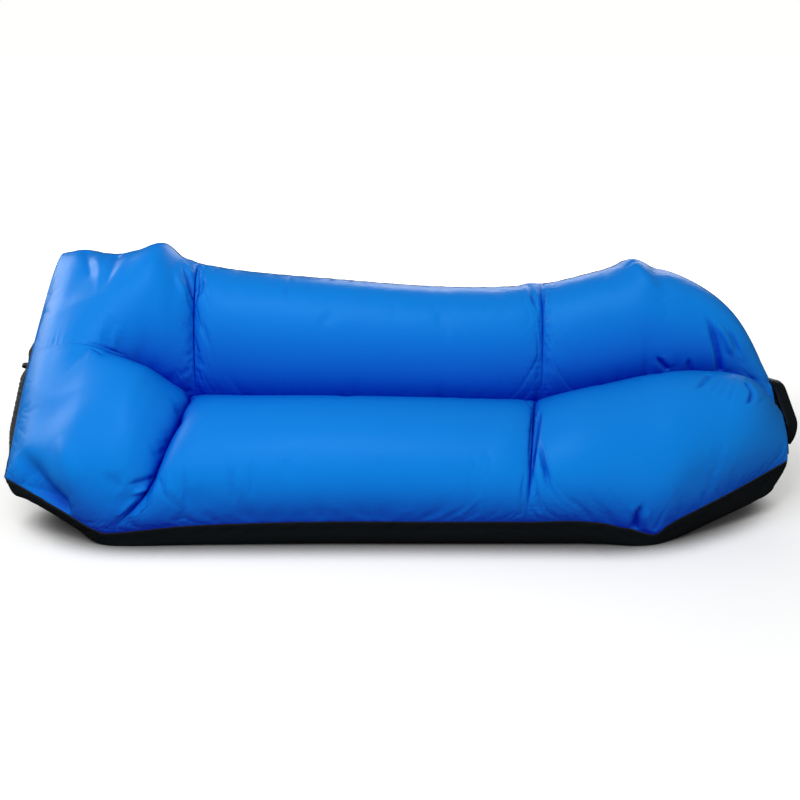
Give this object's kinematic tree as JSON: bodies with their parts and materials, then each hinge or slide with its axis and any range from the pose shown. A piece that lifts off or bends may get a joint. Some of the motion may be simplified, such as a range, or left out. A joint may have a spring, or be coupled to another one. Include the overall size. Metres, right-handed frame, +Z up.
{
  "type": "inflatable air lounger",
  "caption": "Inflatable air lounger of sewn fabric air chambers, a low seat and a higher back, with a raised head end and a rolled mouth held shut by a buckle.",
  "frame": {"origin": "middle of the base, on the floor", "axes": "+X to the foot end with the rolled mouth, +Y to the back chamber's side away from the sitter, +Z up"},
  "size_m": [2.1406, 0.7855, 0.6453],
  "materials": {
    "blue_fabric": "satin coated nylon, royal blue",
    "black_fabric": "satin coated nylon, black",
    "black_webbing": "matt woven tape, black",
    "black_plastic": "moulded acetal, black",
    "stiffener_plastic": "clear flat strip"
  },
  "bodies": {
    "lounger": {"front_head_panel": "blue_fabric", "front_seat_panel": "blue_fabric", "front_foot_panel": "blue_fabric", "back_head_panel": "blue_fabric", "back_middle_panel": "blue_fabric", "back_foot_panel": "blue_fabric", "groove_seam_tape": "blue_fabric", "front_head_seam_tape": "blue_fabric", "front_foot_seam_tape": "blue_fabric", "back_head_seam_tape": "blue_fabric", "back_foot_seam_tape": "blue_fabric", "front_base_panel": "black_fabric", "rear_panel": "black_fabric", "centre_partition": "black_fabric", "base_seam_tape": "black_fabric", "front_mouth_sleeve": "black_fabric", "rear_mouth_sleeve": "black_fabric", "perimeter_binding": "black_webbing"},
    "closure": {"closure_roll": "black_fabric", "front_mouth_stiffener": "stiffener_plastic", "rear_mouth_stiffener": "stiffener_plastic", "lower_strap": "black_webbing", "upper_strap": "black_webbing", "buckle_housing": "black_plastic"},
    "plug": {"buckle_plug": "black_plastic"},
    "outer_prong": {"outer_prong": "black_plastic"},
    "inner_prong": {"inner_prong": "black_plastic"},
    "anchor": {"anchor_loop": "black_webbing"}
  },
  "joints": [
    {"name": "closure_swing", "type": "hinge", "parent": "lounger", "child": "closure", "pos_m": [1.0224, 0.00762, 0.22949], "axis": [-0.091, 0.8356, 0.5417], "range_deg": [-15, 15], "stiffness_Nm_per_rad": 0.5},
    {"name": "buckle_release", "type": "slide", "parent": "closure", "child": "plug", "axis": [-0.091, 0.8356, 0.5417], "range_m": [0, 0.026], "deforming": ["upper_strap", "outer_prong", "inner_prong"]},
    {"name": "outer_prong_squeeze", "type": "hinge", "parent": "plug", "child": "outer_prong", "pos_m": [1.05159, 0.05442, 0.17402], "axis": [0, 0.544, -0.8391], "range_deg": [0, 8], "stiffness_Nm_per_rad": 0.3},
    {"name": "inner_prong_squeeze", "type": "hinge", "parent": "plug", "child": "inner_prong", "pos_m": [1.03267, 0.05296, 0.17308], "axis": [0, -0.544, 0.8391], "range_deg": [0, 8], "stiffness_Nm_per_rad": 0.3},
    {"name": "anchor_loop_swing", "type": "hinge", "parent": "lounger", "child": "anchor", "pos_m": [-1.0476, -0.032, 0.3712], "axis": [0.0947, 0.7251, 0.6821], "range_deg": [-30, 30], "stiffness_Nm_per_rad": 0.02}
  ]
}
